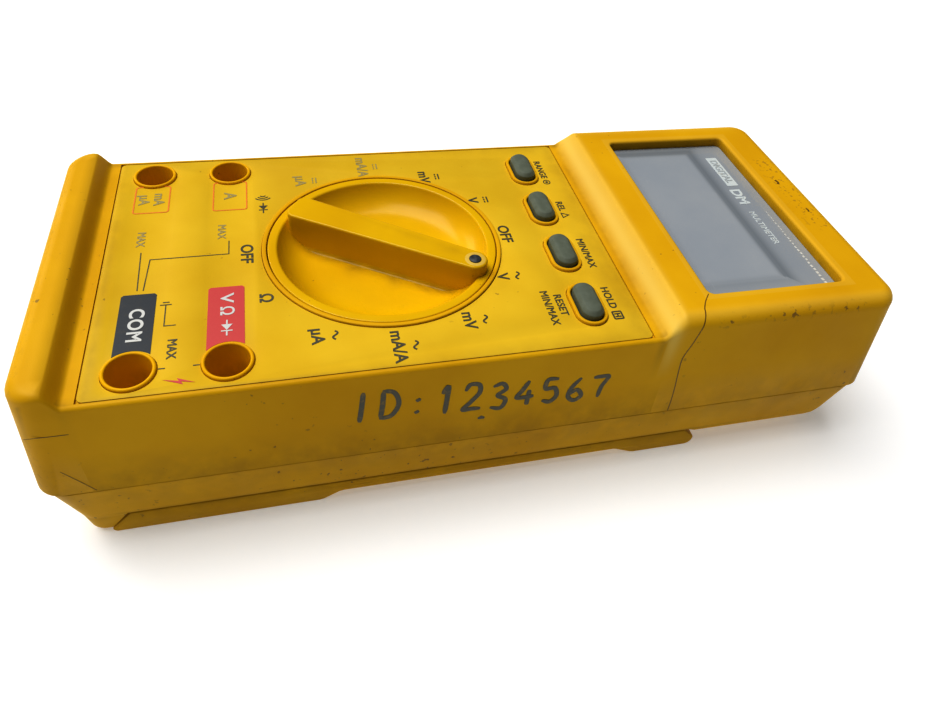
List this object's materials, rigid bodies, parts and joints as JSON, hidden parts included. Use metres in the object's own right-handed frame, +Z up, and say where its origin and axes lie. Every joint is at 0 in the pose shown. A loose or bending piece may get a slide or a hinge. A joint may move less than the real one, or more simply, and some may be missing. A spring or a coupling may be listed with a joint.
{
  "type": "bench multimeter",
  "caption": "Rugged yellow digital multimeter lying on its folded tilt bail, with a dished rotary selector, push keys, shrouded test jacks and a framed display window.",
  "frame": {"origin": "middle of the footprint, on the surface that the meter lies on", "axes": "+X towards the right side of the panel, +Y towards the display end, +Z up out of the panel"},
  "size_m": [0.0912, 0.2074, 0.05],
  "materials": {
    "case_plastic": "satin moulded",
    "panel_film": "satin printed film",
    "knob_plastic": "semi-gloss moulded",
    "key_rubber": "matt",
    "window": "clear, worn",
    "lcd": "grey-green liquid crystal",
    "black_plastic": "matt",
    "seal_rubber": "matt",
    "ivory_plastic": "satin",
    "circuit_board": "solder mask",
    "brass": "plated",
    "steel": "zinc plated",
    "spring_sheet": "rolled",
    "battery_jacket": "printed metal jacket",
    "fuse_body": "ceramic"
  },
  "bodies": {
    "meter_body": {"back_case": "case_plastic", "bail_pin_1": "steel", "bail_pin_2": "steel", "battery": "battery_jacket", "battery_connector": "black_plastic", "beeper": "black_plastic", "board_screw_1": "steel", "board_screw_2": "steel", "board_screw_3": "steel", "board_screw_4": "steel", "case_gasket": "seal_rubber", "case_screw_1": "steel", "case_screw_2": "steel", "case_screw_3": "steel", "case_screw_4": "steel", "case_screw_5": "steel", "case_screw_6": "steel", "detent_spring": "spring_sheet", "display_board": "circuit_board", "display_lens": "window", "front_case": "case_plastic", "fuse_amp": "fuse_body", "fuse_clip_1": "brass", "fuse_clip_2": "brass", "fuse_clip_3": "brass", "fuse_clip_4": "brass", "fuse_milliamp": "fuse_body", "jack_contact_amp": "brass", "jack_contact_com": "brass", "jack_contact_milliamp": "brass", "jack_contact_volt": "brass", "jack_sleeve_amp": "case_plastic", "jack_sleeve_com": "case_plastic", "jack_sleeve_milliamp": "case_plastic", "jack_sleeve_volt": "case_plastic", "keypad_mat": "seal_rubber", "lcd_frame": "black_plastic", "lcd_glass": "lcd", "lcd_reflector": "ivory_plastic", "main_board": "circuit_board", "panel_overlay": "panel_film", "shaft_seal": "seal_rubber", "shield_plate": "spring_sheet", "zebra_strip_1": "seal_rubber", "zebra_strip_2": "seal_rubber"},
    "selector": {"selector_knob": "knob_plastic", "pointer_insert": "black_plastic", "contact_rotor": "ivory_plastic", "rotor_screw": "steel"},
    "range_key": {"key_range": "key_rubber"},
    "relative_key": {"key_relative": "key_rubber"},
    "minmax_key": {"key_minmax": "key_rubber"},
    "hold_key": {"key_hold": "key_rubber"},
    "bail": {"tilt_bail": "case_plastic"}
  },
  "joints": [
    {"name": "selector_turn", "type": "hinge", "parent": "meter_body", "child": "selector", "pos_m": [0, -0.0232, 0.045], "axis": [0, 0, 1], "continuous": true},
    {"name": "range_key_press", "type": "slide", "parent": "meter_body", "child": "range_key", "axis": [0, 0, -1], "range_m": [0, 0.0012], "stiffness_N_per_m": 450},
    {"name": "relative_key_press", "type": "slide", "parent": "meter_body", "child": "relative_key", "axis": [0, 0, -1], "range_m": [0, 0.0012], "stiffness_N_per_m": 450},
    {"name": "minmax_key_press", "type": "slide", "parent": "meter_body", "child": "minmax_key", "axis": [0, 0, -1], "range_m": [0, 0.0012], "stiffness_N_per_m": 450},
    {"name": "hold_key_press", "type": "slide", "parent": "meter_body", "child": "hold_key", "axis": [0, 0, -1], "range_m": [0, 0.0012], "stiffness_N_per_m": 450},
    {"name": "bail_swing", "type": "hinge", "parent": "meter_body", "child": "bail", "pos_m": [0, 0.0539, 0.0032], "axis": [1, 0, 0], "range_deg": [0, 45]}
  ]
}
